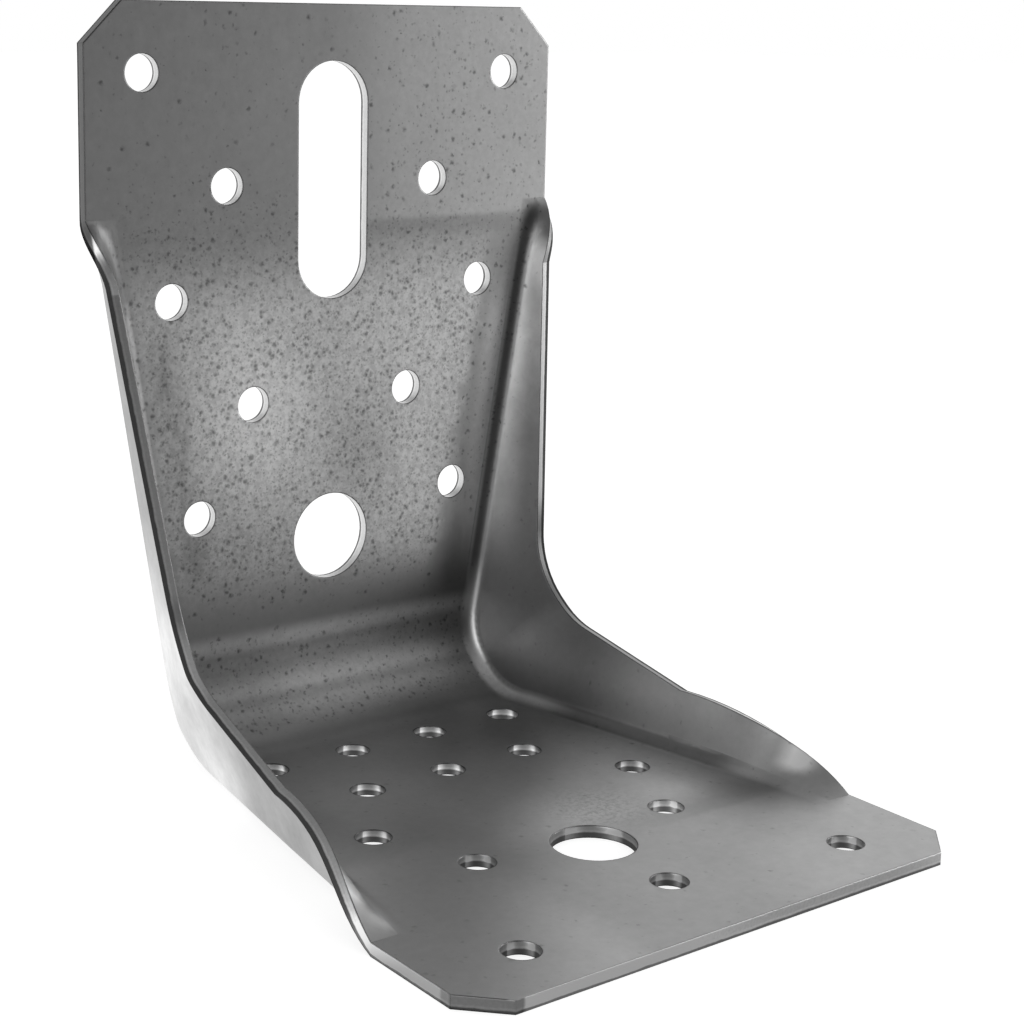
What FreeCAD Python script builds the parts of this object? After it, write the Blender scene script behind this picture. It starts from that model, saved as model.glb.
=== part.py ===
"""Pressed steel angle bracket with two drawn edge flanges.

One sheet of steel, bent through a right angle and pressed so that both long
edges stand up as flanges.  The flanges are highest in the corner, run out into
the flat ends of the legs, and stiffen the bracket.

Everything is drawn first from the heel, where the planes of the back face and
the underside meet at mid-width.  X runs across the width, the upright leg
climbs +Z with its back face on Y = 0, and the floor leg runs along -Y with its
underside on Z = 0.  At the end the bracket is moved so that the origin is at
the middle of its footprint.  Lengths are in millimetres.
"""
import FreeCAD
import Part
import math
import os
from FreeCAD import Vector

# Sheet and legs
sheet = 1.5                 # thickness
width = 69.6                # both legs
upright_length = 93.5       # underside to top edge
floor_length = 78.5         # back face to front edge
heel_radius = 11.0          # inside of the bend between the legs
upright_chamfer = 5.0       # cut corners at the top
floor_chamfer = 4.4         # cut corners at the front

# Edge flanges, the same on both sides
fold_radius = 2.2           # inside of the fold from leg to flange
flange_foot = 21.4          # half distance between the two folds at the heel
flange_spread = 0.165       # outward growth of the fold per mm along either leg
flange_lean = 0.28          # outward growth of the flange per mm above its leg
flange_turn_radius = 10.0   # where the flange of one leg turns into the other's
rim_corner_depth = 11.6     # where the rim's two straight runs would meet,
rim_corner_height = 15.0    # from the back face and from the underside
rim_at_corner = 13.0        # radius of the hollow curve between them
upright_rim_depth = 4.7     # rim where the run-outs start, from the outer faces
floor_rim_depth = 8.7
upright_flange_end = 68.0   # from the underside
floor_flange_end = 61.0     # from the back face
upright_run_out = 8.5       # length over which a flange lies down into its leg
floor_run_out = 24.0
upright_turn_power = 2      # the higher, the longer the flange stays up before it lies down
floor_turn_power = 3
run_out_steps = 8
rim_cut = Vector(1, 0.22, -0.22)    # the rim's cut face, nearly square to both flanges

# Nail holes of the upright
upright_nail_hole = 4.5
upright_rows = 5
upright_first_row = 85.1
upright_pitch = 13.75
upright_outer_x = 27.2      # half spacing of the top row
upright_row_taper = 1.9     # the rows close in with the flanges
upright_stagger = 9.7       # every second row stands further in

# Bolt holes and slot
upright_bolt_hole = 11.3
upright_bolt_z = 25.3
floor_bolt_hole = 9.8
floor_bolt_y = 54.7
slot_width = 10.4
slot_length = 30.0
slot_top = 86.5

# Nail holes of the floor leg: distance from the back face, then half spacings
floor_nail_hole = 4.2
floor_pitch = 11.9
floor_first_row = 15.8
floor_rows = (
    (floor_first_row, (6.0, 18.0)),
    (floor_first_row + floor_pitch, (0.0, 12.0)),
    (floor_first_row + 2 * floor_pitch, (19.5,)),
    (floor_first_row + 3 * floor_pitch, (14.0,)),
    (67.0, (0.0,)),
    (70.7, (23.5,)),
)

half_width = width / 2
reach = 150.0               # longer than the bracket, for the forming bodies
margin = 5.0                # how far cutting bodies stand past what they cut
close = 1e-4                # for telling which edges and faces lie where
to_left = Vector(1, 0, 0)   # mirrors the right half to the left
between_legs = Vector(0, 1, 1)  # mirrors the upright to the floor leg
heel = Vector(0, 0, 0)
fold_slope = math.atan(flange_spread)
web_root = math.sqrt(1 + flange_spread ** 2 + flange_lean ** 2)
fold_turn = math.acos(flange_lean / web_root)


def fold_sharp(along):
    """Half width at which flange and leg would meet without the fold."""
    return flange_foot + flange_spread * along


def fold_start(along):
    """Half width at which the flat part of a leg ends."""
    back = fold_radius * math.tan(fold_turn / 2) / math.cos(fold_slope)
    return fold_sharp(along) - back


def on_upright(x, along, depth):
    """Point of the upright leg, from its length and its depth in the sheet."""
    return Vector(x, -depth, along)


def forming_body(skin):
    """Space in front of the sheet's face that lies at depth skin.

    With skin = sheet it is the space inside the bracket, and with skin = 0
    the same space grown by the thickness of the sheet.
    """
    grown = sheet - skin
    radius = heel_radius + grown
    start = skin + radius
    low = Vector(0, -start, skin)
    high = Vector(0, -skin, start)
    mid = Vector(0, -start + radius * math.sin(math.pi / 4),
                 start - radius * math.cos(math.pi / 4))
    far_low = Vector(0, -reach, skin)
    far_high = Vector(0, -skin, reach)
    far = Vector(0, -reach, reach)
    outline = Part.Wire([
        Part.LineSegment(far_low, low).toShape(),
        Part.Arc(low, mid, high).toShape(),
        Part.LineSegment(high, far_high).toShape(),
        Part.LineSegment(far_high, far).toShape(),
        Part.LineSegment(far, far_low).toShape()])
    body = Part.Face(outline).extrude(Vector(reach, 0, 0))
    past_upright = beyond_flange(grown)
    body = body.cut([past_upright, laid_over(past_upright)])
    turn = [edge for edge in body.Edges if is_turn(edge, grown)]
    body = body.makeFillet(flange_turn_radius + grown, turn)
    folds = [edge for edge in body.Edges if is_fold(edge, skin)]
    body = body.makeFillet(fold_radius + grown, folds)
    return body.fuse(body.mirror(heel, to_left)).removeSplitter()


def flange_x(depth, along, grown):
    """Half width of a flange's flat face, from its place on its own leg."""
    return fold_sharp(along) + flange_lean * (depth - sheet) + grown * web_root


def beyond_flange(grown):
    """Everything outside the flat face of the upright's right flange."""
    over = reach + margin
    corners = [(-margin, -margin), (over, -margin), (over, over), (-margin, over)]
    points = [on_upright(flange_x(d, a, grown), a, d) for d, a in corners]
    face = Part.Face(Part.makePolygon(points + points[:1]))
    return face.extrude(Vector(3 * reach, 0, 0))


def middle_points(edge):
    """Two points inside an edge."""
    first, last = edge.ParameterRange
    return [edge.valueAt(first + part * (last - first)) for part in (0.3, 0.7)]


def is_turn(edge, grown):
    """True for the edge where the flanges of the two legs meet."""
    return all(abs(p.y + p.z) < close and abs(p.x - flange_x(p.z, p.z, grown)) < close
               for p in middle_points(edge))


def depth_in_sheet(point):
    """Depth of a point behind the outer faces of the legs and the bend."""
    bend = sheet + heel_radius
    if max(-point.y, point.z) > bend:
        return min(-point.y, point.z)
    return bend - math.hypot(point.y + bend, point.z - bend)


def is_fold(edge, skin):
    """True for the edges along which the right flange meets the legs."""
    first, last = edge.ParameterRange
    across = abs(edge.tangentAt((first + last) / 2).x)
    return across < 0.9 and all(p.x > 1 and abs(depth_in_sheet(p) - skin) < close
                                for p in middle_points(edge))


def rim_point(depth, height):
    """Point of the right flange's inside edge, carried to mid-width by the cut.

    The place is given from the back face and from the underside.
    """
    x = flange_x(min(depth, height), max(depth, height), 0.0)
    return Vector(x, -depth, height) - rim_cut * x


def rim_cutter():
    """Space past the rim of the right flange."""
    corner = rim_point(rim_corner_depth, rim_corner_height)
    top = rim_point(upright_rim_depth, upright_flange_end - upright_run_out)
    front = rim_point(floor_flange_end - floor_run_out, floor_rim_depth)
    up = (top - corner).normalize()
    along = (front - corner).normalize()
    half_angle = up.getAngle(along) / 2
    inward = (up + along).normalize()
    back = rim_at_corner / math.tan(half_angle)
    middle = corner + inward * (rim_at_corner / math.sin(half_angle) - rim_at_corner)
    arc_top = corner + up * back
    arc_front = corner + along * back
    past_top = top + up * reach
    past_front = front + along * reach
    outline = Part.Wire([
        Part.LineSegment(past_top, arc_top).toShape(),
        Part.Arc(arc_top, middle, arc_front).toShape(),
        Part.LineSegment(arc_front, past_front).toShape(),
        Part.LineSegment(past_front, past_top).toShape()])
    return Part.Face(outline).extrude(rim_cut * width)


def flanged_zone():
    """The corner and the lower legs, with flanges of full form."""
    zone = forming_body(0.0).cut(forming_body(sheet))
    top = upright_flange_end - upright_run_out
    front = floor_flange_end - floor_run_out
    keep = Part.makeBox(2 * width, front + 1, top + 1, Vector(-width, -front, -1))
    zone = zone.common(keep)
    right = rim_cutter()
    return zone.cut([right, right.mirror(heel, to_left)])


def leg_plate(length, flange_end, run_out, chamfer):
    """Flat end of a leg, drawn on the upright."""
    start = flange_end - run_out
    half = [(0, start), (fold_start(start), start), (fold_start(flange_end), flange_end),
            (half_width, flange_end), (half_width, length - chamfer),
            (half_width - chamfer, length), (0, length)]
    right = [on_upright(x, along, 0) for x, along in half]
    left = [on_upright(-x, along, 0) for x, along in reversed(half[1:-1])]
    outline = right + left
    face = Part.Face(Part.makePolygon(outline + outline[:1]))
    return face.extrude(Vector(0, -sheet, 0))


def run_out_section(along, turn, arc, straight):
    """Section of a flange whose fold has turned up by a given angle only.

    The fold is an arc of a given length with a straight strip above it, and
    both lie flat in the leg where the turn has gone down to nothing.
    """
    foot = fold_start(along)
    if turn < close:
        ends = [(0, 0), (0, sheet), (arc, sheet), (arc + straight, sheet),
                (arc + straight, 0), (arc, 0), (0, 0)]
        return Part.makePolygon([on_upright(foot + x, along, depth) for x, depth in ends])
    inner = arc / turn
    outer = inner + sheet

    def point(size, angle, out):
        x = foot + size * math.sin(angle) + out * math.cos(angle)
        depth = outer - size * math.cos(angle) + out * math.sin(angle)
        return on_upright(x, along, depth)

    return Part.Wire([
        Part.LineSegment(point(outer, 0, 0), point(inner, 0, 0)).toShape(),
        Part.Arc(point(inner, 0, 0), point(inner, turn / 2, 0), point(inner, turn, 0)).toShape(),
        Part.LineSegment(point(inner, turn, 0), point(inner, turn, straight)).toShape(),
        Part.LineSegment(point(inner, turn, straight), point(outer, turn, straight)).toShape(),
        Part.LineSegment(point(outer, turn, straight), point(outer, turn, 0)).toShape(),
        Part.Arc(point(outer, turn, 0), point(outer, turn / 2, 0), point(outer, 0, 0)).toShape()])


def run_out_body(zone, flange_end, run_out, turn_power):
    """Blend from the full flange into the flat leg, drawn on the upright."""
    start = flange_end - run_out
    foot = fold_start(start)
    window = Part.makeBox(width, width, 1, Vector(foot, -width, start - 0.5))
    caps = [face for face in zone.Faces if face.BoundBox.ZMin > start - close]
    first = caps[0].common(window).Faces[0].OuterWire
    full_turn = math.atan(1 / flange_lean)
    arc = fold_radius * full_turn
    rim_depth = max(-vertex.Point.y for vertex in first.Vertexes)
    straight = (rim_depth - sheet - fold_radius * (1 - math.cos(full_turn))) / math.sin(full_turn)
    strip = arc + straight
    sections = [first]
    for step in range(1, run_out_steps + 1):
        part = step / run_out_steps
        ease = 1 - part ** turn_power
        along = start + part * run_out
        share = 1 + ((half_width - fold_start(along)) / strip - 1) * part * (2 - part)
        sections.append(run_out_section(along, full_turn * ease, arc * share, straight * share))
    return Part.makeLoft(sections, True)


def flat_ends_and_run_outs(zone, length, flange_end, run_out, turn_power, chamfer):
    """Flat end of a leg with the blends of both flanges, drawn on the upright."""
    right = run_out_body(zone, flange_end, run_out, turn_power)
    return [leg_plate(length, flange_end, run_out, chamfer), right, right.mirror(heel, to_left)]


def laid_over(shape):
    """The same shape on the other leg: upright and floor leg change places."""
    return shape.mirror(heel, between_legs)


def drill(x, along, size):
    """Round punch through the upright."""
    start = on_upright(x, along, -sheet)
    return Part.makeCylinder(size / 2, 3 * sheet, start, Vector(0, -1, 0))


def upright_punches():
    """Nail holes in staggered rows, a bolt hole and a slot."""
    punches = [drill(0, upright_bolt_z, upright_bolt_hole)]
    for row in range(upright_rows):
        x = upright_outer_x - row * upright_row_taper - (row % 2) * upright_stagger
        along = upright_first_row - row * upright_pitch
        punches += [drill(side, along, upright_nail_hole) for side in (-x, x)]
    high = slot_top - slot_width / 2
    low = slot_top - slot_length + slot_width / 2
    straight = Part.makeBox(slot_width, 3 * sheet, high - low, Vector(-slot_width / 2, -2 * sheet, low))
    return punches + [drill(0, high, slot_width), drill(0, low, slot_width), straight]


def floor_punches():
    """Nail holes and a bolt hole of the floor leg, drawn on the upright."""
    punches = [drill(0, floor_bolt_y, floor_bolt_hole)]
    for along, spacings in floor_rows:
        for x in spacings:
            punches += [drill(side, along, floor_nail_hole) for side in sorted({-x, x})]
    return punches


def bracket():
    """The whole bracket, with its origin at the middle of the footprint."""
    zone = flanged_zone()
    upright = flat_ends_and_run_outs(zone, upright_length, upright_flange_end, upright_run_out,
                                     upright_turn_power, upright_chamfer)
    floor = flat_ends_and_run_outs(laid_over(zone), floor_length, floor_flange_end, floor_run_out,
                                   floor_turn_power, floor_chamfer)
    body = zone.fuse(upright + [laid_over(piece) for piece in floor]).removeSplitter()
    body = body.cut(upright_punches() + [laid_over(punch) for punch in floor_punches()])
    body.translate(Vector(0, floor_length / 2, 0))
    return body


if __name__ == "__main__":
    os.makedirs("parts", exist_ok=True)
    body = bracket().Solids[0]
    print("bracket", body.isValid(), round(body.Volume, 1), "mm3,", len(body.Faces), "faces")
    body.exportStep("parts/bracket.step")
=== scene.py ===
"""Looks of a pressed steel angle bracket: galvanised sheet, sheared edges, studio and camera."""

import logging
from dataclasses import dataclass, field
from enum import Enum

import bmesh
import bpy
from mathutils import Matrix, Vector

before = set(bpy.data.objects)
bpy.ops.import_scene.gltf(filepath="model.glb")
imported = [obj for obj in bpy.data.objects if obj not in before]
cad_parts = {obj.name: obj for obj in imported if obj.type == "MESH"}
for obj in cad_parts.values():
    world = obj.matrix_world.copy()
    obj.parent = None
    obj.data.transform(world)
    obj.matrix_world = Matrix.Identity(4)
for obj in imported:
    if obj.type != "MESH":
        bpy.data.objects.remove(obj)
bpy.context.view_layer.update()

log = logging.getLogger("angle_bracket")

Pair = tuple[float, float]
Triple = tuple[float, float, float]

MM = 0.001
WHITE = (1.0, 1.0, 1.0)
# Level direction from the bracket to the camera
CAMERA_WAY = (-0.629, -0.777, 0.0)
# A point between the legs, on the inner side of every sheet face
BETWEEN_LEGS = (0.0, -0.75 * MM, 40.0 * MM)


def grey(level: float) -> Triple:
    """A neutral linear colour of one level."""
    return (level, level, level)


class Socket(Enum):
    """Kinds of socket that a group can have."""

    NUMBER = "NodeSocketFloat"
    VECTOR = "NodeSocketVector"


@dataclass
class Wiring:
    """A node tree and short ways to add to it."""

    tree: bpy.types.NodeTree

    def add(self, kind: str, inputs: dict | None = None, **settings: object) -> bpy.types.Node:
        """Adds one node.

        Args:
            kind: the node's class name.
            inputs: what each socket gets, a value or another node's output.
            settings: properties of the node.

        Returns:
            The new node.
        """
        node = self.tree.nodes.new(kind)
        for name, value in settings.items():
            setattr(node, name, value)
        for name, value in (inputs or {}).items():
            self.feed(node.inputs[name], value)
        return node

    def feed(self, socket: bpy.types.NodeSocket, value: object) -> None:
        """Sets a socket, or links it.

        Args:
            socket: the input.
            value: a number, colour or vector, or an output socket.
        """
        if isinstance(value, bpy.types.NodeSocket):
            self.tree.links.new(value, socket)
        elif socket.type == "RGBA":
            socket.default_value = (*value, 1.0)
        else:
            socket.default_value = value

    def in_order(self, kind: str, values: tuple, **settings: object) -> bpy.types.Node:
        """Adds one node whose inputs share a name, so they are fed by their order.

        Args:
            kind: the node's class name.
            values: what its inputs get, first to last.
            settings: properties of the node.

        Returns:
            The new node.
        """
        node = self.add(kind, **settings)
        for socket, value in zip(node.inputs, values):
            self.feed(socket, value)
        return node

    def math(self, operation: str, *values: object) -> bpy.types.NodeSocket:
        """Output of a Math node.

        Args:
            operation: the node's operation.
            values: its inputs in order.

        Returns:
            The output socket.
        """
        return self.in_order("ShaderNodeMath", values, operation=operation).outputs[0]

    def times(self, product: object, *factors: object) -> object:
        """Product of values.

        Args:
            product: the first value.
            factors: the others.

        Returns:
            The output socket, or the first value where there is no other.
        """
        for factor in factors:
            product = self.math("MULTIPLY", product, factor)
        return product

    def line(self, value: object, factor: object, offset: object) -> bpy.types.NodeSocket:
        """A value times a factor, plus an offset."""
        return self.math("MULTIPLY_ADD", value, factor, offset)

    def vector(self, operation: str, *values: object) -> bpy.types.NodeSocket:
        """Vector that a Vector Math node gives."""
        return self.in_order("ShaderNodeVectorMath", values, operation=operation).outputs["Vector"]

    def along(self, vector: object, direction: object) -> bpy.types.NodeSocket:
        """How far a vector reaches along a direction."""
        return self.in_order(
            "ShaderNodeVectorMath", (vector, direction), operation="DOT_PRODUCT").outputs["Value"]

    def scaled(self, vector: object, scale: float) -> bpy.types.NodeSocket:
        """A vector times a number.

        Args:
            vector: the vector.
            scale: the number.

        Returns:
            The vector output.
        """
        node = self.add("ShaderNodeVectorMath", {"Scale": scale}, operation="SCALE")
        self.feed(node.inputs[0], vector)
        return node.outputs["Vector"]

    def ramp(self, value: object, low: object, high: object, to_low: object = 0.0,
             to_high: object = 1.0) -> bpy.types.NodeSocket:
        """Smooth step from one level to another.

        Args:
            value: what is read.
            low: where the step starts.
            high: where it ends.
            to_low: result at and before the start.
            to_high: result at and past the end.

        Returns:
            The output socket.
        """
        node = self.add("ShaderNodeMapRange", {
            "Value": value, "From Min": low, "From Max": high, "To Min": to_low, "To Max": to_high,
        }, interpolation_type="SMOOTHSTEP")
        return node.outputs["Result"]

    def mix(self, share: object, below: object, above: object) -> bpy.types.NodeSocket:
        """Value between two others.

        Args:
            share: how much of the second shows.
            below: the first value.
            above: the second value.

        Returns:
            The value output.
        """
        node = self.add("ShaderNodeMix", data_type="FLOAT")
        self.feed(node.inputs[0], share)
        self.feed(node.inputs[2], below)
        self.feed(node.inputs[3], above)
        return node.outputs[0]

    def noise(self, place: object, scale: float, detail: float = 3.0,
              roughness: float = 0.6, distortion: float = 0.0) -> bpy.types.NodeSocket:
        """Noise with a feature size of 1 / scale metres.

        Args:
            place: coordinates in metres.
            scale: features per metre.
            detail: octaves.
            roughness: strength of the finer octaves.
            distortion: how much it swirls.

        Returns:
            The value output, from 0 to 1.
        """
        node = self.add("ShaderNodeTexNoise", {
            "Vector": place, "Scale": scale, "Detail": detail, "Roughness": roughness,
            "Distortion": distortion,
        })
        return node.outputs["Fac"]

    def about_zero(self, noise: object, swing: float) -> bpy.types.NodeSocket:
        """Noise from 0 to 1, spread over a swing whose middle is 0."""
        return self.line(noise, swing, -swing / 2)

    def blended(self, share: object, below: bpy.types.Node,
                above: bpy.types.Node) -> bpy.types.Node:
        """One shader over another.

        Args:
            share: how much of the second shows.
            below: the first shader's node.
            above: the second shader's node.

        Returns:
            The mixing node.
        """
        return self.in_order("ShaderNodeMixShader", (share, below.outputs[0], above.outputs[0]))


@dataclass(frozen=True)
class Camera:
    """Where the photograph was taken from, fitted to the bracket's edges and holes."""

    place: Vector = field(default_factory=lambda: Vector((-0.142972, -0.174996, 0.092084)))
    right: Vector = field(default_factory=lambda: Vector((0.80736, -0.58986, 0.01513)))
    up: Vector = field(default_factory=lambda: Vector((0.09455, 0.15464, 0.98344)))
    lens: float = 71.06
    sensor: float = 36.0
    shift: Pair = (0.09442, -0.12145)
    clip_start: float = 0.01

    def build(self) -> None:
        """Adds the camera and makes it the scene's own."""
        data = bpy.data.cameras.new("camera")
        data.lens = self.lens
        data.sensor_width = self.sensor
        data.shift_x, data.shift_y = self.shift
        data.clip_start = self.clip_start
        back = self.right.cross(self.up).normalized()
        up = back.cross(self.right).normalized()
        turn = Matrix((self.right.normalized(), up, back)).transposed()
        camera = bpy.data.objects.new("camera", data)
        camera.matrix_world = Matrix.Translation(self.place) @ turn.to_4x4()
        bpy.context.scene.collection.objects.link(camera)
        bpy.context.scene.camera = camera


@dataclass(frozen=True)
class SoftBox:
    """A square lamp that faces the bracket."""

    name: str
    place: Triple
    power: float
    size: float = 0.5
    aim: Triple = (0.0, 0.0, 0.04)

    def build(self) -> None:
        """Adds the lamp."""
        data = bpy.data.lights.new(self.name, "AREA")
        data.shape = "SQUARE"
        data.size = self.size
        data.energy = self.power
        lamp = bpy.data.objects.new(self.name, data)
        place = Vector(self.place)
        lamp.location = place
        lamp.rotation_euler = (Vector(self.aim) - place).to_track_quat("-Z", "Y").to_euler()
        bpy.context.scene.collection.objects.link(lamp)


@dataclass
class Studio:
    """Pale floor and a pale wall all round, a dark ceiling and camera side, and soft lamps.

    Pairs are the start and end of a smooth border, as the share of a direction that points
    the way that is named.
    """

    floor_size: float = 8.0
    paper: float = 0.5
    paper_glow: float = 0.74
    plain_floor: float = 0.8
    plain_level: float = 0.62
    camera_side: Triple = (-0.09, -0.996, 0.0)
    wall: float = 0.85
    back_wall: float = 1.2
    back_wall_border: Pair = (-0.2, -0.9)
    dark_gap: float = 0.03
    floor_gap: float = 0.30
    gap_border: Pair = (0.50, 0.82)
    camera_border: Pair = (0.89, 0.97)
    ceiling: float = 0.33
    ceiling_border: Pair = (0.35, 0.75)
    lamps: tuple[SoftBox, ...] = (
        SoftBox("lamp_left", (-1.0, -0.45, 0.25), 2.0),
        SoftBox("lamp_right", (1.0, -0.35, 0.25), 3.0),
    )

    def build(self) -> None:
        """Adds the floor, the world and the lamps."""
        mesh = bpy.data.meshes.new("floor")
        shape = bmesh.new()
        bmesh.ops.create_grid(shape, x_segments=1, y_segments=1, size=self.floor_size / 2)
        shape.to_mesh(mesh)
        shape.free()
        mesh.materials.append(self.floor_material())
        floor = bpy.data.objects.new("floor", mesh)
        bpy.context.scene.collection.objects.link(floor)
        self.surroundings()
        for lamp in self.lamps:
            lamp.build()

    def mirrored_level(self, wiring: Wiring, direction: object,
                       gap: float) -> bpy.types.NodeSocket:
        """Brightness that the steel mirrors from the wall, with the gap on the camera's side.

        Args:
            wiring: where the nodes go.
            direction: unit vector away from the bracket.
            gap: level inside the gap.

        Returns:
            The value output.
        """
        side = wiring.along(direction, self.camera_side)
        wall = wiring.ramp(side, *self.back_wall_border, self.wall, self.back_wall)
        camera = wiring.ramp(wiring.along(direction, CAMERA_WAY), *self.camera_border)
        dark = wiring.math("MAXIMUM", wiring.ramp(side, *self.gap_border), camera)
        return wiring.mix(dark, wall, gap)

    def shiny(self, wiring: Wiring, rays: bpy.types.Node) -> bpy.types.NodeSocket:
        """1 for rays that were mirrored or passed through something."""
        return wiring.math(
            "MAXIMUM", rays.outputs["Is Glossy Ray"], rays.outputs["Is Transmission Ray"])

    def floor_material(self) -> bpy.types.Material:
        """White to the eye, with the bracket's soft shadow kept.

        Returns:
            The floor's material.
        """
        material = bpy.data.materials.new("floor")
        material.use_nodes = True
        material.node_tree.nodes.clear()
        wiring = Wiring(material.node_tree)
        paper = wiring.add("ShaderNodeBsdfDiffuse", {"Color": grey(self.paper)})
        glow = wiring.add("ShaderNodeEmission", {"Color": WHITE, "Strength": self.paper_glow})
        seen = wiring.in_order("ShaderNodeAddShader", (paper.outputs[0], glow.outputs[0]))
        place = wiring.add("ShaderNodeTexCoord").outputs["Object"]
        level = self.mirrored_level(wiring, wiring.vector("NORMALIZE", place), self.floor_gap)
        mirrored = wiring.add("ShaderNodeEmission", {"Color": WHITE, "Strength": level})
        plain = wiring.add("ShaderNodeBsdfDiffuse", {"Color": grey(self.plain_floor)})
        rays = wiring.add("ShaderNodeLightPath")
        unseen = wiring.blended(self.shiny(wiring, rays), plain, mirrored)
        mixed = wiring.blended(rays.outputs["Is Camera Ray"], unseen, seen)
        wiring.add("ShaderNodeOutputMaterial", {"Surface": mixed.outputs[0]})
        return material

    def surroundings(self) -> None:
        """White where it is seen, a wall and a ceiling in mirrors, and a plain level of light."""
        world = bpy.data.worlds.new("studio")
        world.use_nodes = True
        world.node_tree.nodes.clear()
        wiring = Wiring(world.node_tree)
        direction = wiring.add("ShaderNodeTexCoord").outputs["Generated"]
        wall = self.mirrored_level(wiring, direction, self.dark_gap)
        overhead = wiring.ramp(wiring.along(direction, (0.0, 0.0, 1.0)), *self.ceiling_border)
        mirrored = wiring.mix(overhead, wall, self.ceiling)
        rays = wiring.add("ShaderNodeLightPath")
        level = wiring.mix(self.shiny(wiring, rays), self.plain_level, mirrored)
        strength = wiring.mix(rays.outputs["Is Camera Ray"], level, 1.0)
        glow = wiring.add("ShaderNodeBackground", {"Color": WHITE, "Strength": strength})
        wiring.add("ShaderNodeOutputWorld", {"Surface": glow.outputs[0]})
        bpy.context.scene.world = world


@dataclass(frozen=True)
class ShearMarks:
    """Finds the sheared faces of a sheet metal piece and stores them as attributes.

    A face is sheared when no face that looks the other way lies one sheet behind it. On those
    faces a second attribute runs from 0 at the outer side of the sheet to 1 at its inner side.
    """

    sheet: float = 1.5 * MM
    reach: float = 1.25
    skin: float = 0.02 * MM
    opposite: float = -0.8
    least: float = 0.001 * MM
    sheared: str = "sheared"
    depth: str = "shear_depth"

    def build(self, piece: bpy.types.Object) -> None:
        """Adds the modifier to a piece.

        Args:
            piece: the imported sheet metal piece.
        """
        tree = bpy.data.node_groups.new("shear_marks", "GeometryNodeTree")
        for way in ("INPUT", "OUTPUT"):
            tree.interface.new_socket("Geometry", in_out=way, socket_type="NodeSocketGeometry")
        wiring = Wiring(tree)
        start = wiring.add("NodeGroupInput").outputs[0]
        normal = wiring.add("GeometryNodeFieldOnDomain", {
            "Value": wiring.add("GeometryNodeInputNormal").outputs[0],
        }, data_type="FLOAT_VECTOR", domain="FACE").outputs[0]
        place = wiring.add("GeometryNodeInputPosition").outputs[0]
        cut = self.cut_faces(wiring, start, place, normal)
        marked = self.stored(wiring, start, self.sheared, cut, "FACE")
        inner = wiring.math("GREATER_THAN", wiring.along(
            wiring.vector("SUBTRACT", BETWEEN_LEGS, place), normal), 0.0)
        outer = wiring.math("SUBTRACT", 1.0, inner)
        to_outer, to_inner = (self.distance_to(wiring, start, side, cut)
                              for side in (outer, inner))
        both = wiring.math("ADD", wiring.math("ADD", to_outer, to_inner), self.least)
        depth = wiring.math("DIVIDE", to_outer, both)
        wiring.add("NodeGroupOutput", {
            "Geometry": self.stored(wiring, marked, self.depth, depth, "POINT")})
        modifier = piece.modifiers.new("shear_marks", "NODES")
        modifier.node_group = tree

    def cut_faces(self, wiring: Wiring, start: object, place: object,
                  normal: object) -> bpy.types.NodeSocket:
        """1 on faces that have no opposite face one sheet behind them.

        Args:
            wiring: where the nodes go.
            start: the piece's geometry.
            place: the faces' places.
            normal: the faces' normals.

        Returns:
            The value output.
        """
        ray = wiring.add("GeometryNodeRaycast", {
            "Target Geometry": start,
            "Source Position": wiring.vector("ADD", place, wiring.scaled(normal, -self.skin)),
            "Ray Direction": wiring.scaled(normal, -1.0),
            "Ray Length": self.reach * self.sheet,
        })
        facing = wiring.along(ray.outputs["Hit Normal"], normal)
        backed = wiring.times(
            ray.outputs["Is Hit"], wiring.math("LESS_THAN", facing, self.opposite))
        return wiring.math("SUBTRACT", 1.0, backed)

    def distance_to(self, wiring: Wiring, start: object, side: object,
                    cut: object) -> bpy.types.NodeSocket:
        """Distance to the sheet faces of one side.

        Args:
            wiring: where the nodes go.
            start: the piece's geometry.
            side: 1 on the faces that look to that side.
            cut: 1 on sheared faces.

        Returns:
            The value output.
        """
        sheet_face = wiring.math("GREATER_THAN", wiring.math("SUBTRACT", side, cut), 0.5)
        only = wiring.add("GeometryNodeSeparateGeometry", {
            "Geometry": start, "Selection": sheet_face}, domain="FACE")
        near = wiring.in_order(
            "GeometryNodeProximity", (only.outputs[0],), target_element="FACES")
        return near.outputs["Distance"]

    def stored(self, wiring: Wiring, geometry: object, name: str, value: object,
               domain: str) -> bpy.types.NodeSocket:
        """Geometry with one more attribute.

        Args:
            wiring: where the nodes go.
            geometry: what gets it.
            name: the attribute's name.
            value: its value.
            domain: where it is kept.

        Returns:
            The geometry output.
        """
        return wiring.add("GeometryNodeStoreNamedAttribute", {
            "Geometry": geometry, "Name": name, "Value": value,
        }, data_type="FLOAT", domain=domain).outputs[0]


class Along(Enum):
    """What a limit is read along. Lengths are in millimetres in the bracket's frame."""

    X = "across"
    Y = "from front to back"
    Z = "up"
    ASIDE = "away from the middle plane"
    LEAN = "share of the normal that points sideways"
    TURN = "degrees round the bend, 0 at the floor leg and 90 at the upright"
    LEFT_SLANT = "across, along the left border of the upright's middle"
    RAGGED_LEFT = "the same with a ragged border"
    RAGGED_RIGHT = "across, along the ragged right border of the upright's middle"
    RIGHT_FOLD = "across, along the right fold of the upright"
    RAGGED_FRONT = "from front to back with a ragged border"
    FROM_HEEL = "away from the heel, with a cloudy border"
    STREAKS = "long thin noise"
    GRAIN = "fine noise"
    CLOUDS = "noise"
    ABOVE_HEEL = "up or down from the rim's curve"
    SIDE = "1 on the sides and cut corners of the upright"


X, Y, Z, LEAN = Along.X, Along.Y, Along.Z, Along.LEAN


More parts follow.
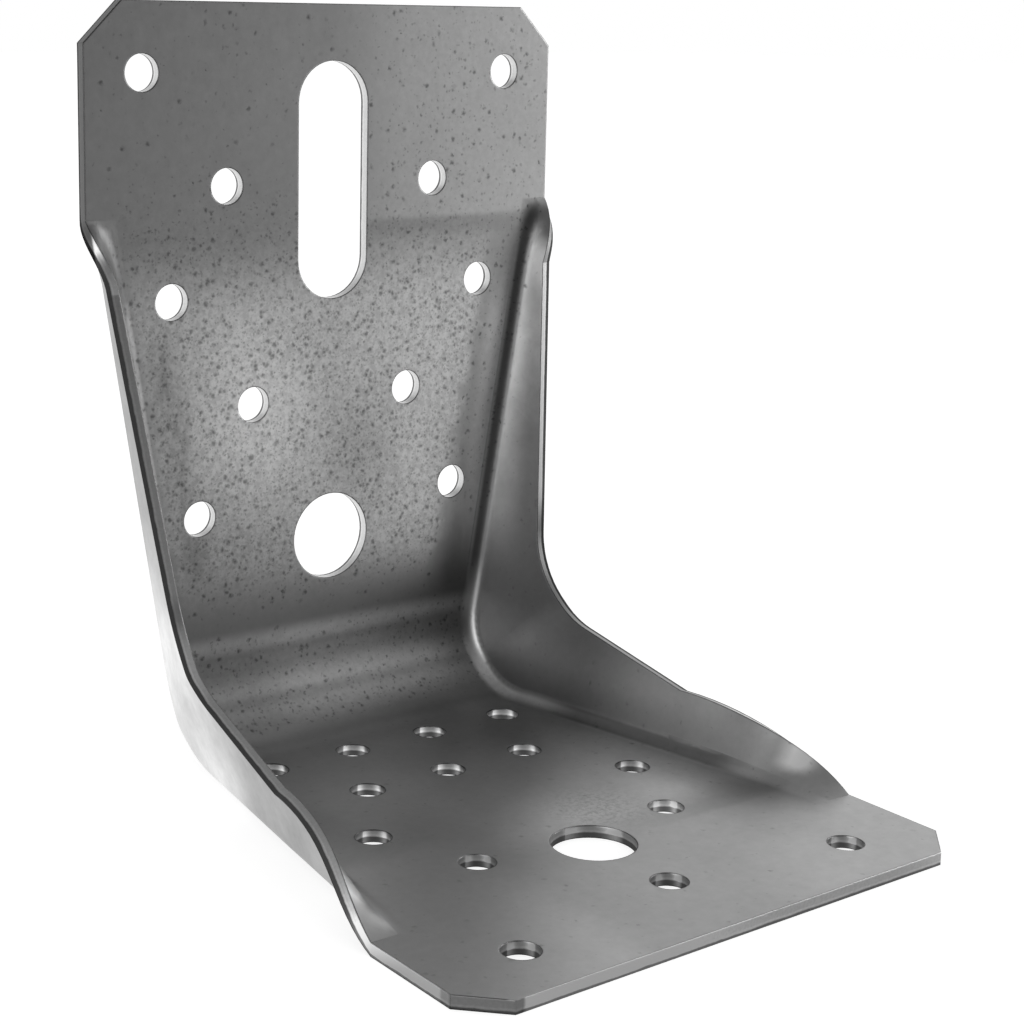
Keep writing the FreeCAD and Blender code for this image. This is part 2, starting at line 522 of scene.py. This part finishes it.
@dataclass(frozen=True)
class Step:
    """A limit that rises or falls smoothly between two places."""

    along: Along
    start: float
    end: float
    low: float = 0.0
    high: float = 1.0

    def wire(self, wiring: Wiring, value: object) -> bpy.types.NodeSocket:
        """Wires the step."""
        return wiring.ramp(value, self.start, self.end, self.low, self.high)


@dataclass(frozen=True)
class Hump:
    """A limit that is 1 at the centre and 0 from half its width away on."""

    along: Along
    centre: float
    half: float

    def wire(self, wiring: Wiring, value: object) -> bpy.types.NodeSocket:
        """Wires the hump."""
        away = wiring.math("ABSOLUTE", wiring.math("SUBTRACT", value, self.centre))
        return wiring.ramp(away, 0.0, self.half, 1.0, 0.0)


@dataclass(frozen=True)
class Plain:
    """A limit that is what is read."""

    along: Along

    def wire(self, wiring: Wiring, value: object) -> object:
        """Gives the value back."""
        return value


Limit = Step | Hump | Plain


@dataclass(frozen=True)
class Mark:
    """A zone that is lighter, or darker where the gain is below 0."""

    name: str
    gain: float
    limits: tuple[Limit, ...]


@dataclass
class Survey:
    """What limits are read along at the shaded point, wired once for all marks."""

    wiring: Wiring
    values: dict[Along, object] = field(default_factory=dict)
    wired: dict[Limit, object] = field(default_factory=dict)

    def locate(self, place: object) -> None:
        """Adds the place.

        Args:
            place: coordinates in metres.
        """
        parts = self.wiring.add("ShaderNodeSeparateXYZ", {
            "Vector": self.wiring.scaled(place, 1 / MM)})
        self.values[X], self.values[Y], self.values[Z] = parts.outputs
        self.values[Along.ASIDE] = self.wiring.math("ABSOLUTE", self.values[X])

    def mask(self, *limits: Limit) -> object:
        """Where all limits hold.

        Args:
            limits: what is multiplied.

        Returns:
            The value output.
        """
        for limit in limits:
            if limit not in self.wired:
                self.wired[limit] = limit.wire(self.wiring, self.values[limit.along])
        return self.wiring.times(*(self.wired[limit] for limit in limits))

    def marked(self, shade: object, marks: tuple[Mark, ...]) -> object:
        """Lays marks over a shade.

        Args:
            shade: what they are laid over.
            marks: the zones, each of which multiplies the shade by 1 + its gain.

        Returns:
            The value output.
        """
        for mark in marks:
            factor = self.wiring.line(self.mask(*mark.limits), mark.gain, 1.0)
            factor.node.label = mark.name
            shade = self.wiring.times(shade, factor)
        return shade


class Effect:
    """A surface effect kept as a shader node group with named sockets, built once."""

    name: str = "effect"
    sockets_in: dict[str, tuple[Socket, object]] = {}
    sockets_out: dict[str, Socket] = {}

    def wire(self, wiring: Wiring, given: dict[str, bpy.types.NodeSocket]) -> dict[str, object]:
        """Adds the group's own nodes.

        Args:
            wiring: the group's tree.
            given: the group's inputs by name.

        Returns:
            What each output gets, by name.
        """
        raise NotImplementedError

    def group(self) -> bpy.types.NodeTree:
        """Makes the node group the first time it is asked for.

        Returns:
            The node group.
        """
        tree = bpy.data.node_groups.get(self.name)
        if tree:
            return tree
        tree = bpy.data.node_groups.new(self.name, "ShaderNodeTree")
        for name, (kind, start) in self.sockets_in.items():
            socket = tree.interface.new_socket(name, in_out="INPUT", socket_type=kind.value)
            if start is not None:
                socket.default_value = start
        for name, kind in self.sockets_out.items():
            tree.interface.new_socket(name, in_out="OUTPUT", socket_type=kind.value)
        wiring = Wiring(tree)
        given = {socket.name: socket for socket in wiring.add("NodeGroupInput").outputs
                 if socket.name}
        wiring.add("NodeGroupOutput", self.wire(wiring, given))
        return tree

    def place(self, wiring: Wiring, inputs: dict[str, object]) -> dict[str, bpy.types.NodeSocket]:
        """Puts the effect into a material.

        Args:
            wiring: the material's tree.
            inputs: what each input gets, by name.

        Returns:
            The group's outputs by name.
        """
        node = wiring.tree.nodes.new("ShaderNodeGroup")
        node.node_tree = self.group()
        for name, value in inputs.items():
            wiring.feed(node.inputs[name], value)
        return {socket.name: socket for socket in node.outputs}


class Specks(Effect):
    """Small dark specks where the zinc has dulled, one to a cell, some cells bare."""

    name = "dulled_specks"
    sockets_in = {
        "Place": (Socket.VECTOR, None),
        "Spacing per Metre": (Socket.NUMBER, 600.0),
        "Cover": (Socket.NUMBER, 0.5),
        "Size": (Socket.NUMBER, 0.4),
    }
    sockets_out = {"Mask": Socket.NUMBER}
    bends_per_metre = 1400.0
    bend = 0.8 * MM
    size_spread = 0.7
    least_size = 0.5
    core = 0.05
    soft_cover = 0.06

    def wire(self, wiring: Wiring, given: dict[str, bpy.types.NodeSocket]) -> dict[str, object]:
        """Cells with a random size and a random choice of which are bare.

        Args:
            wiring: the group's tree.
            given: the group's inputs by name.

        Returns:
            What each output gets, by name.
        """
        bent = wiring.add("ShaderNodeTexNoise", {
            "Vector": given["Place"], "Scale": self.bends_per_metre, "Detail": 2.0,
            "Roughness": 0.6})
        shifted = wiring.vector(
            "MULTIPLY_ADD", bent.outputs["Color"], (self.bend,) * 3, given["Place"])
        cells = wiring.add("ShaderNodeTexVoronoi", {
            "Vector": shifted, "Scale": given["Spacing per Metre"], "Randomness": 1.0,
        }, voronoi_dimensions="3D", feature="F1")
        chance = wiring.add("ShaderNodeSeparateColor", {"Color": cells.outputs["Color"]})
        bare, size = chance.outputs[0], chance.outputs[1]
        reach = wiring.times(
            given["Size"], wiring.line(size, self.size_spread, self.least_size))
        spot = wiring.ramp(cells.outputs["Distance"], reach, wiring.times(reach, self.core))
        kept = wiring.ramp(wiring.math("SUBTRACT", given["Cover"], bare),
                           -self.soft_cover, self.soft_cover)
        return {"Mask": wiring.times(spot, kept)}


class Mottle(Effect):
    """Cloudy change of shade at two sizes, as on rolled zinc."""

    name = "zinc_mottle"
    sockets_in = {
        "Place": (Socket.VECTOR, None),
        "Broad": (Socket.NUMBER, 0.1),
        "Fine": (Socket.NUMBER, 0.1),
    }
    sockets_out = {"Shade": Socket.NUMBER}
    broad_per_metre = 70.0
    fine_per_metre = 900.0
    swing = 4.0

    def wire(self, wiring: Wiring, given: dict[str, bpy.types.NodeSocket]) -> dict[str, object]:
        """Two noises about 1, multiplied.

        Args:
            wiring: the group's tree.
            given: the group's inputs by name.

        Returns:
            What each output gets, by name.
        """
        place = given["Place"]
        broad = wiring.noise(place, self.broad_per_metre, roughness=0.55)
        fine = wiring.noise(place, self.fine_per_metre)
        shades = (wiring.line(wiring.about_zero(value, self.swing), strength, 1.0)
                  for value, strength in ((broad, given["Broad"]), (fine, given["Fine"])))
        return {"Shade": wiring.times(*shades)}


class InnerSide(Effect):
    """Tells the inner side of the bent sheet from its outer side."""

    name = "inner_side"
    sockets_in = {
        "Place": (Socket.VECTOR, None),
        "Normal": (Socket.VECTOR, None),
        "Inside": (Socket.VECTOR, BETWEEN_LEGS),
    }
    sockets_out = {"Mask": Socket.NUMBER}

    def wire(self, wiring: Wiring, given: dict[str, bpy.types.NodeSocket]) -> dict[str, object]:
        """1 where a face looks towards a point between the legs."""
        way = wiring.vector("SUBTRACT", given["Inside"], given["Place"])
        return {"Mask": wiring.math("GREATER_THAN", wiring.along(way, given["Normal"]), 0.0)}


class PressMarksAndPaintedLight(Effect):
    """Painted light and shade on both sides, and the zones that get specks and a duller roughness.
    """

    name = "press_marks_and_painted_light"
    sockets_in = {"Place": (Socket.VECTOR, None), "Normal": (Socket.VECTOR, None)}
    sockets_out = {"Shade": Socket.NUMBER, "Outer Shade": Socket.NUMBER,
                   "Flange": Socket.NUMBER, "Specks": Socket.NUMBER, "Dull": Socket.NUMBER}

    bend_y = 26.75
    bend_z = 12.5
    left_slope = 0.17
    right_slope = -0.20
    fold_slope = -0.13
    borders_per_metre = 260.0
    border_swing = 5.0
    front_swing_share = 0.15
    heel = (0.0, 30.0, 12.0)
    heel_clouds_per_metre = 240.0
    heel_swing = 16.0
    streaks_per_metre = 420.0
    streak_squeeze = (1.0, 1.0, 0.22)
    grain_per_metre = 1900.0
    clouds_per_metre = 1100.0
    fine_roughness = 0.7
    upright = Step(Y, 36.0, 37.4)
    floor = Step(Z, 3.0, 1.8)
    flange = Step(LEAN, 0.30, 0.80)
    web = Step(LEAN, 0.60, 0.85)
    streaked = Step(Along.STREAKS, 0.40, 0.62, 0.4, 1.0)
    middle = (upright, Step(Along.RAGGED_RIGHT, 14.4, 11.4),
              Step(Along.RAGGED_LEFT, -22.0, -17.5), Step(Z, 15.0, 25.0))
    # Painted light on the upright's middle; the same zone is also rougher.
    painted_light_and_dull_middle = (*middle, Step(Z, 66.0, 55.0))
    specked = (*middle, Step(Z, 76.0, 52.0, 0.06, 1.0))
    thinly_specked = (upright, Step(X, 0.0, 14.0, 0.0, 0.24), Step(Z, 24.0, 32.0))
    bend = (Step(Along.TURN, 22.0, 34.0), Step(Z, 15.0, 12.3), Step(LEAN, 0.30, 0.10))
    bend_specks = 0.38
    # Painted light and shade on the upright: a lighter middle, a bright patch, darker patches and
    # foot, a lighter top with shade along the crease, and light beside the right fold. The two
    # smears are streaky dark marks.
    upright_marks = (
        Mark("painted light on the middle", 0.60, painted_light_and_dull_middle),
        Mark("bright patch", 0.48, (upright, Hump(X, -13.0, 14.0), Hump(Z, 43.0, 20.0))),
        Mark("painted dark patch", -0.22, (upright, Hump(X, 5.0, 9.0), Hump(Z, 36.0, 12.0))),
        Mark("painted dark foot", -0.38, (upright, Hump(X, 21.0, 7.0), Hump(Z, 18.0, 10.0))),
        Mark("lighter top", 0.28, (upright, Step(Z, 65.8, 66.8), Step(X, -2.0, 12.0))),
        Mark("crease", -0.12, (upright, Hump(Z, 65.0, 2.2), Step(X, -4.0, 8.0))),
        Mark("left smear", -0.34, (
            upright, Hump(Along.LEFT_SLANT, -16.0, 3.2), Step(Z, 20.0, 27.0),
            Step(Z, 60.0, 46.0), streaked)),
        Mark("right smear", -0.34, (
            upright, Hump(X, 20.5, 3.5), Step(Z, 12.0, 18.0), Step(Z, 42.0, 33.0, 0.0, 0.6),
            streaked)),
        Mark("beside the right fold", 0.95, (
            upright, Step(Along.RIGHT_FOLD, 17.0, 20.5), Step(LEAN, 0.10, 0.02),
            Step(Z, 60.0, 50.0), Step(Z, 14.0, 22.0))),
    )
    # Painted reflection stripes round the bend, painted light on the bend and painted shade at its
    # left end.
    bend_marks = tuple(
        Mark("stripe in the bend", gain, (
            Hump(Along.TURN, degrees, half), Step(Z, 22.0, 15.0), Step(Along.ASIDE, 24.0, 20.0)))
        for degrees, half, gain in (
            (92.5, 10.0, 0.95), (80.0, 7.0, 0.10), (52.0, 7.0, -0.20), (42.0, 8.0, 0.10),
            (16.0, 9.0, -0.15))
    ) + (
        Mark("left end of the bend", -0.28, (*bend, Step(X, -4.0, -14.0))),
        Mark("bend", 0.22, bend),
    )
    # Painted light and shade on the floor leg: lighter in front of the crease, in the middle, on
    # the right and at the front left, darker at two spots. The grained spot is a darker grainy
    # patch.
    floor_marks = (
        Mark("front", 0.14, (floor, Step(Along.RAGGED_FRONT, -15.6, -16.8), Step(X, 4.0, 16.0))),
        Mark("middle", 0.34, (
            floor, Step(X, -17.0, -5.0), Step(Y, -15.0, -8.0), Step(Y, 20.0, 8.0))),
        Mark("painted dark spot", -0.18, (floor, Hump(X, 8.0, 9.0), Hump(Y, 0.0, 13.0))),
        Mark("right", 0.34, (floor, Step(X, 12.0, 20.0), Step(Y, -15.0, -8.0))),
        Mark("painted shade on the left", -0.32, (floor, Hump(X, -24.0, 9.0), Hump(Y, 6.0, 13.0))),
        Mark("front left", 0.22, (floor, Step(X, -9.0, -17.0), Step(Y, -3.0, -8.0))),
        Mark("grained spot", -0.32, (
            floor, Hump(X, 7.0, 9.0), Hump(Y, -8.0, 9.0), Step(Along.GRAIN, 0.42, 0.66))),
    )
    # Painted shade at the upper end of the left flange, towards the heel and at the front of the
    # flanges, painted light on their foot, and painted highlights on the heel of the fold and on
    # the run-out.
    flange_marks = (
        Mark("upper end of the left flange", -0.45, (
            Step(X, -24.0, -27.0), Step(Z, 54.0, 60.0), Step(LEAN, 0.02, 0.15))),
        Mark("painted shade towards the heel", -0.56, (
            Step(LEAN, 0.72, 0.90), Step(Along.FROM_HEEL, 62.0, 26.0), Step(Y, 6.0, 20.0))),
        Mark("foot of the flange", 0.24, (
            web, Step(Y, -8.0, 4.0), Step(Y, 26.0, 18.0), Hump(Z, 7.5, 4.5))),
        Mark("front of the flange", -0.22, (web, Hump(Y, -8.5, 8.0))),
        Mark("painted highlight on the heel of the fold", 1.54, (
            Step(LEAN, 0.05, 0.30), Step(LEAN, 0.90, 0.70), Hump(Y, 30.0, 9.0),
            Hump(Z, 7.0, 8.0), Plain(Along.CLOUDS))),
        Mark("painted highlight on the run-out", 1.8, (
            Hump(Y, -15.6, 3.4), Step(Z, 2.6, 4.0), Step(LEAN, 0.35, 0.60))),
    )
    behind = Step(Y, 20.0, 32.0)
    # Painted shade in the folds and painted light on their bulges.
    fold_limits = (Step(LEAN, 0.08, 0.36), Step(Y, -12.0, -5.0), Step(Z, 68.0, 58.0, 0.55, 1.0))
    fold_heel = (Step(Y, 16.0, 24.0), Step(Z, 20.0, 13.0))
    floor_fold_lean = (0.97, 0.84)
    upright_fold_lean = (0.93, 0.78)
    floor_fold_gain = -0.62
    upright_fold_gain = -0.66
    ridge_limits = (Step(LEAN, 0.76, 0.91), Step(Z, 16.0, 30.0), Step(Z, 72.0, 66.0))
    ridge_gain = Step(Along.RIGHT_FOLD, 24.2, 22.9, -0.06, 1.15)
    ridge_top = Step(Z, 52.0, 60.0)
    ridge_top_gain = 0.50
    # Painted light and shade on the outer side: the flanges' outer faces darker high up on the
    # upright, lightest low down towards the back, the other outer faces at one level.
    outer_flat = 0.74
    outer_upright = 0.54
    outer_floor = Step(Y, 10.0, 20.0, 0.76, 1.25)
    outer_lower = Step(Z, 34.0, 18.0)

    def survey(self, wiring: Wiring, place: object, normal: object) -> Survey:
        """Wires what the marks are read along.

        Args:
            wiring: the group's tree.
            place: coordinates in metres.
            normal: the surface's normal.

        Returns:
            The readings.
        """
        survey = Survey(wiring)
        survey.locate(place)
        read = survey.values
        x, y, z = read[X], read[Y], read[Z]
        ragged = wiring.about_zero(
            wiring.noise(place, self.borders_per_metre), self.border_swing)
        across = wiring.math("ADD", x, ragged)
        read[LEAN] = wiring.math("ABSOLUTE", wiring.along(normal, (1.0, 0.0, 0.0)))
        read[Along.TURN] = wiring.math("DEGREES", wiring.math(
            "ARCTAN2", wiring.math("SUBTRACT", y, self.bend_y),
            wiring.math("SUBTRACT", self.bend_z, z)))
        read[Along.LEFT_SLANT] = wiring.line(z, self.left_slope, x)
        read[Along.RAGGED_LEFT] = wiring.line(z, self.left_slope, across)
        read[Along.RAGGED_RIGHT] = wiring.line(z, self.right_slope, across)
        read[Along.RIGHT_FOLD] = wiring.line(z, self.fold_slope, x)
        read[Along.RAGGED_FRONT] = wiring.line(ragged, self.front_swing_share, y)
        drawn = wiring.add("ShaderNodeMapping", {"Vector": place, "Scale": self.streak_squeeze})
        read[Along.STREAKS] = wiring.noise(drawn.outputs[0], self.streaks_per_metre)
        for noise, scale in ((Along.GRAIN, self.grain_per_metre),
                             (Along.CLOUDS, self.clouds_per_metre)):
            read[noise] = wiring.noise(place, scale, roughness=self.fine_roughness)
        flat = wiring.add("ShaderNodeCombineXYZ", {"X": 0.0, "Y": y, "Z": z}).outputs[0]
        away = wiring.in_order(
            "ShaderNodeVectorMath", (flat, self.heel), operation="DISTANCE").outputs["Value"]
        read[Along.FROM_HEEL] = wiring.line(
            wiring.noise(place, self.heel_clouds_per_metre, distortion=0.8),
            self.heel_swing, away)
        return survey

    def fold(self, survey: Survey) -> object:
        """Painted shade in the folds, apart from the heel; the floor leg's is wider.

        Args:
            survey: what is read.

        Returns:
            The value output, below 0.
        """
        wiring = survey.wiring
        behind = survey.mask(self.behind)
        ends = (wiring.mix(behind, floor, upright)
                for floor, upright in zip(self.floor_fold_lean, self.upright_fold_lean))
        bulge = wiring.ramp(survey.values[LEAN], *ends)
        past_heel = wiring.math("SUBTRACT", 1.0, survey.mask(*self.fold_heel))
        gain = wiring.mix(behind, self.floor_fold_gain, self.upright_fold_gain)
        return wiring.times(survey.mask(*self.fold_limits), bulge, past_heel, gain)

    def ridge(self, survey: Survey) -> object:
        """Painted light on the bulges of the upright's folds, most of all on the right.

        Args:
            survey: what is read.

        Returns:
            The value output.
        """
        gain = survey.wiring.mix(
            survey.mask(self.ridge_top), survey.mask(self.ridge_gain), self.ridge_top_gain)
        return survey.wiring.times(survey.mask(*self.ridge_limits), gain)

    def wire(self, wiring: Wiring, given: dict[str, bpy.types.NodeSocket]) -> dict[str, object]:
        """Zones of the upright, the bend, the floor leg and the flanges, one after another.

        Args:
            wiring: the group's tree.
            given: the group's inputs by name.

        Returns:
            What each output gets, by name.
        """
        survey = self.survey(wiring, given["Place"], given["Normal"])
        shade = survey.marked(1.0, self.upright_marks + self.bend_marks + self.floor_marks
                              + self.flange_marks)
        for swing in (self.fold(survey), self.ridge(survey)):
            shade = wiring.times(shade, wiring.math("ADD", swing, 1.0))
        flange = survey.mask(self.flange)
        # Painted light and shade for the outer side.
        outer = wiring.mix(
            survey.mask(self.outer_lower), self.outer_upright, survey.mask(self.outer_floor))
        specks = survey.mask(*self.specked)
        for others in (survey.mask(*self.thinly_specked),
                       wiring.times(survey.mask(*self.bend), self.bend_specks)):
            specks = wiring.math("MAXIMUM", specks, others)
        dull = wiring.math("MAXIMUM", survey.mask(*self.painted_light_and_dull_middle), survey.mask(self.floor))
        return {"Shade": shade, "Outer Shade": wiring.mix(flange, self.outer_flat, outer),
                "Flange": flange, "Specks": specks, "Dull": dull}


class ShearedFace(Effect):
    """The two zones of a sheared face: bright and drawn near the inner side, torn and dark.

    The torn zone is widest on the flanges' rims and in the holes of the floor leg. The sides
    of the upright leg are dark all over.
    """

    name = "sheared_face"
    sockets_in = {
        "Place": (Socket.VECTOR, None),
        "Normal": (Socket.VECTOR, None),
        "Depth": (Socket.NUMBER, 0.5),
        "Torn Share": (Socket.NUMBER, 0.20),
        "Torn Share on Rims": (Socket.NUMBER, 0.38),
        "Torn Share in Floor Holes": (Socket.NUMBER, 0.45),
    }
    sockets_out = {"Shade": Socket.NUMBER, "Torn": Socket.NUMBER}

    borders_per_metre = 500.0
    border_swing = 0.16
    border_half = 0.05
    torn_shade = 0.34
    torn_shade_on_rims = 0.20
    tears_per_metre = 3000.0
    tear_swing = 0.4
    least_tear = 0.80
    burr_at = 0.12
    burr_gain = 1.18
    heel_height = 21.0
    side = Step(Along.ASIDE, 34.5, 34.7)
    cut_corner = (119.0, 121.0)
    rim = (Step(Along.ASIDE, 25.5, 26.5), Step(Z, 70.0, 62.0), Step(Y, -24.0, -16.0))
    hole = (Step(Z, 2.5, 1.6), Step(Y, -38.0, -37.0), Step(Along.ASIDE, 26.5, 25.5))
    front = (Step(Y, -34.0, -35.0), Step(Z, 2.5, 1.6))
    # Painted light on the front edge and on the left edge of the floor leg, painted shade on the
    # right rim.
    marks = (
        Mark("front edge", 1.0, (*front, Step(X, 8.0, -14.0, 0.28, 0.75))),
        Mark("sides of the upright", -0.82, (Plain(Along.SIDE), Step(Z, 60.0, 64.0))),
        Mark("right rim", -1.0, (
            *rim, Step(X, 0.0, 5.0), Step(Y, -8.0, 0.0),
            Step(Along.ABOVE_HEEL, 3.0, 9.0, 0.85, 0.55))),
        Mark("left cut corner", -0.62, (*front, Step(X, -29.0, -29.6))),
        Mark("left edge of the floor leg", 0.7, (
            Step(X, -34.3, -34.7), Step(Y, -17.0, -20.0), Step(Y, -33.6, -33.0))),
    )
    # Painted reflection: bright spots on the walls of the floor holes, set by how a wall faces the
    # camera's way.
    painted_reflection_at = 0.84
    painted_reflection_width = 0.17
    painted_reflection_levels = (1.35, 0.38)
    painted_reflection_gain = Step(Y, 4.0, -8.0, 1.0, 2.0)

    def wire(self, wiring: Wiring, given: dict[str, bpy.types.NodeSocket]) -> dict[str, object]:
        """A ragged line between the zones, a light burr beside it, and fine tears below it, with
        painted light and shade on some edges and painted reflections on the walls of the floor
        holes.

        Args:
            wiring: the group's tree.
            given: the group's inputs by name.

        Returns:
            What each output gets, by name.
        """
        place = given["Place"]
        survey = Survey(wiring)
        survey.locate(place)
        read = survey.values
        read[Along.ABOVE_HEEL] = wiring.math(
            "ABSOLUTE", wiring.math("SUBTRACT", read[Z], self.heel_height))
        read[Along.SIDE] = wiring.math("MAXIMUM", survey.mask(self.side), wiring.ramp(
            wiring.math("ADD", read[Along.ASIDE], read[Z]), *self.cut_corner))
        rim = survey.mask(*self.rim)
        hole = survey.mask(*self.hole)
        share = wiring.mix(rim, given["Torn Share"], given["Torn Share on Rims"])
        share = wiring.mix(hole, share, given["Torn Share in Floor Holes"])
        ragged = wiring.about_zero(
            wiring.noise(place, self.borders_per_metre), self.border_swing)
        past = wiring.math("SUBTRACT", wiring.math("ADD", given["Depth"], ragged), share)
        torn = wiring.ramp(past, self.border_half, -self.border_half)
        from_burr = wiring.math("ABSOLUTE", wiring.math("SUBTRACT", past, self.burr_at))
        burr = wiring.ramp(from_burr, 0.0, self.burr_at, self.burr_gain, 1.0)
        tears = wiring.line(wiring.noise(place, self.tears_per_metre, roughness=0.7),
                            self.tear_swing, self.least_tear)
        shade = wiring.mix(torn, burr, wiring.mix(
            rim, self.torn_shade, self.torn_shade_on_rims))
        shade = survey.marked(shade, self.marks)
        # Painted reflection spots on the walls of the floor holes.
        from_painted_reflection = wiring.math("ABSOLUTE", wiring.math(
            "SUBTRACT", wiring.along(given["Normal"], CAMERA_WAY), self.painted_reflection_at))
        painted_reflection = wiring.times(
            wiring.ramp(from_painted_reflection, 0.0, self.painted_reflection_width, *self.painted_reflection_levels),
            survey.mask(self.painted_reflection_gain))
        shade = wiring.times(shade, wiring.mix(hole, 1.0, painted_reflection), tears)
        return {"Shade": shade, "Torn": torn}


class EdgeLine(Effect):
    """Rounds sharp edges and finds the thin line beside them."""

    name = "edge_line"
    sockets_in = {"Radius": (Socket.NUMBER, 0.2 * MM)}
    sockets_out = {"Normal": Socket.VECTOR, "Mask": Socket.NUMBER}
    turned = (0.995, 0.93)

    def wire(self, wiring: Wiring, given: dict[str, bpy.types.NodeSocket]) -> dict[str, object]:
        """A rounded normal, and where it leaves the surface's own.

        Args:
            wiring: the group's tree.
            given: the group's inputs by name.

        Returns:
            What each output gets, by name.
        """
        rounded = wiring.add(
            "ShaderNodeBevel", {"Radius": given["Radius"]}, samples=8).outputs[0]
        straight = wiring.add("ShaderNodeNewGeometry").outputs["Normal"]
        same = wiring.along(rounded, straight)
        return {"Normal": rounded, "Mask": wiring.ramp(same, *self.turned)}


@dataclass(frozen=True)
class GalvanisedSteel:
    """Finish of the bracket: rolled and dulled zinc with painted light and shade laid over it, and
    bare sheared edges.

    Gains are shares by which a level rises, or falls where they are below 0.
    """

    zinc: float = 0.40
    # Painted light: the outer side is made brighter than the inner side.
    outer_painted_light: float = 1.35
    sheared: float = 0.62
    mottle: float = 0.05
    outer_mottle: Pair = (0.07, 0.08)
    flange_mottle: float = 0.25
    clusters_per_metre: float = 190.0
    cluster_noise: Pair = (0.32, 0.62)
    cluster_cover: Pair = (0.45, 1.3)
    speck_gain: float = -0.60
    speck_cover: float = 0.82
    stray_cover: float = 0.014
    specks_per_metre: float = 1150.0
    speck_size: float = 0.49
    small_specks_per_metre: float = 2100.0
    small_speck_size: float = 0.62
    small_speck_share: float = 0.7
    grains_per_metre: float = 1500.0
    grain_noise: Pair = (0.34, 0.66)
    grain_gain: Pair = (-0.14, 0.14)
    edge_radius: float = 0.27 * MM
    edge_gain: Step = Step(Y, -38.5, -38.9, -0.62, 0.06)
    roughness: float = 0.33
    dull_roughness: float = 0.04
    uneven_roughness: float = 0.08
    uneven_per_metre: float = 500.0
    sheared_roughness: float = 0.40
    torn_roughness: float = 0.60
    dents: float = 0.25
    dents_per_metre: float = 1300.0
    dent_depth: float = 0.02 * MM
    marks: ShearMarks = field(default_factory=ShearMarks)

    def speckled(self, wiring: Wiring, place: object, amount: object) -> object:
        """Specks of two sizes and a fine grain.

        Args:
            wiring: the material's tree.
            place: coordinates in metres.
            amount: how much of the surface has them, from 0 to 1.

        Returns:
            The value output, which multiplies a shade.
        """
        cover = wiring.line(amount, self.speck_cover, self.stray_cover)
        clusters = wiring.ramp(wiring.noise(place, self.clusters_per_metre),
                               *self.cluster_noise, *self.cluster_cover)
        large = Specks().place(wiring, {
            "Place": place, "Spacing per Metre": self.specks_per_metre,
            "Cover": wiring.times(cover, clusters), "Size": self.speck_size})["Mask"]
        small = Specks().place(wiring, {
            "Place": place, "Spacing per Metre": self.small_specks_per_metre,
            "Cover": cover, "Size": self.small_speck_size})["Mask"]
        specks = wiring.math("MAXIMUM", large, wiring.times(small, self.small_speck_share))
        fine = wiring.noise(place, self.grains_per_metre, 2.0, 0.7)
        grain = wiring.times(wiring.ramp(fine, *self.grain_noise, *self.grain_gain), cover)
        return wiring.times(wiring.line(specks, self.speck_gain, 1.0),
                            wiring.math("ADD", grain, 1.0))

    def build(self) -> bpy.types.Material:
        """Makes the material.

        Returns:
            The finished material.
        """
        material = bpy.data.materials.new("galvanised_steel")
        material.use_nodes = True
        material.node_tree.nodes.clear()
        wiring = Wiring(material.node_tree)
        place = wiring.add("ShaderNodeTexCoord").outputs["Object"]
        normal = wiring.add("ShaderNodeNewGeometry").outputs["Normal"]
        where = {"Place": place, "Normal": normal}
        cut, depth = (wiring.add("ShaderNodeAttribute", attribute_name=name).outputs["Fac"]
                      for name in (self.marks.sheared, self.marks.depth))

        press = PressMarksAndPaintedLight().place(wiring, where)
        mottle = Mottle().place(wiring, {
            "Place": place, "Broad": self.mottle, "Fine": self.mottle})["Shade"]
        broad, fine = self.outer_mottle
        streaky = Mottle().place(wiring, {
            "Place": place, "Broad": wiring.line(press["Flange"], self.flange_mottle, broad),
            "Fine": fine})["Shade"]
        # The inner side takes the press marks' painted light and shade, the outer side their
        # painted outer shade.
        inside = wiring.times(
            press["Shade"], mottle, self.speckled(wiring, place, press["Specks"]))
        outside = wiring.times(streaky, press["Outer Shade"], self.outer_painted_light)
        inner = InnerSide().place(wiring, where)["Mask"]
        zinc = wiring.times(wiring.mix(inner, outside, inside), self.zinc)

        face = ShearedFace().place(wiring, {**where, "Depth": depth})
        bare = wiring.times(face["Shade"], self.sheared)
        edge = EdgeLine().place(wiring, {"Radius": self.edge_radius})
        survey = Survey(wiring)
        survey.locate(place)
        border = wiring.line(edge["Mask"], survey.mask(self.edge_gain), 1.0)
        level = wiring.times(wiring.mix(cut, zinc, bare), border)
        colour = wiring.add("ShaderNodeCombineColor", {
            "Red": level, "Green": level, "Blue": level})

        rough = wiring.line(press["Dull"], self.dull_roughness, self.roughness)
        rough = wiring.line(wiring.noise(place, self.uneven_per_metre),
                            self.uneven_roughness, rough)
        rough = wiring.mix(cut, rough, wiring.mix(
            face["Torn"], self.sheared_roughness, self.torn_roughness))
        dents = wiring.add("ShaderNodeBump", {
            "Strength": self.dents, "Distance": self.dent_depth, "Normal": edge["Normal"],
            "Height": wiring.noise(place, self.dents_per_metre)})
        steel = wiring.add("ShaderNodeBsdfPrincipled", {
            "Base Color": colour.outputs[0], "Metallic": 1.0, "Roughness": rough,
            "Normal": dents.outputs[0]})
        wiring.add("ShaderNodeOutputMaterial", {"Surface": steel.outputs[0]})
        return material


@dataclass
class Bracket:
    """The pressed sheet steel bracket."""

    node: str = "bracket"
    finish: GalvanisedSteel = field(default_factory=GalvanisedSteel)

    def dress(self) -> None:
        """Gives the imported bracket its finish."""
        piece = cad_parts[self.node]
        self.finish.marks.build(piece)
        piece.material_slots[0].material = self.finish.build()
        log.info("%s: dressed", self.node)


def main() -> None:
    """Builds the studio and dresses the bracket."""
    logging.basicConfig(level=logging.INFO, format="%(message)s")
    bpy.context.scene.view_settings.view_transform = "Standard"
    Camera().build()
    Studio().build()
    Bracket().dress()


if __name__ == "__main__":
    main()
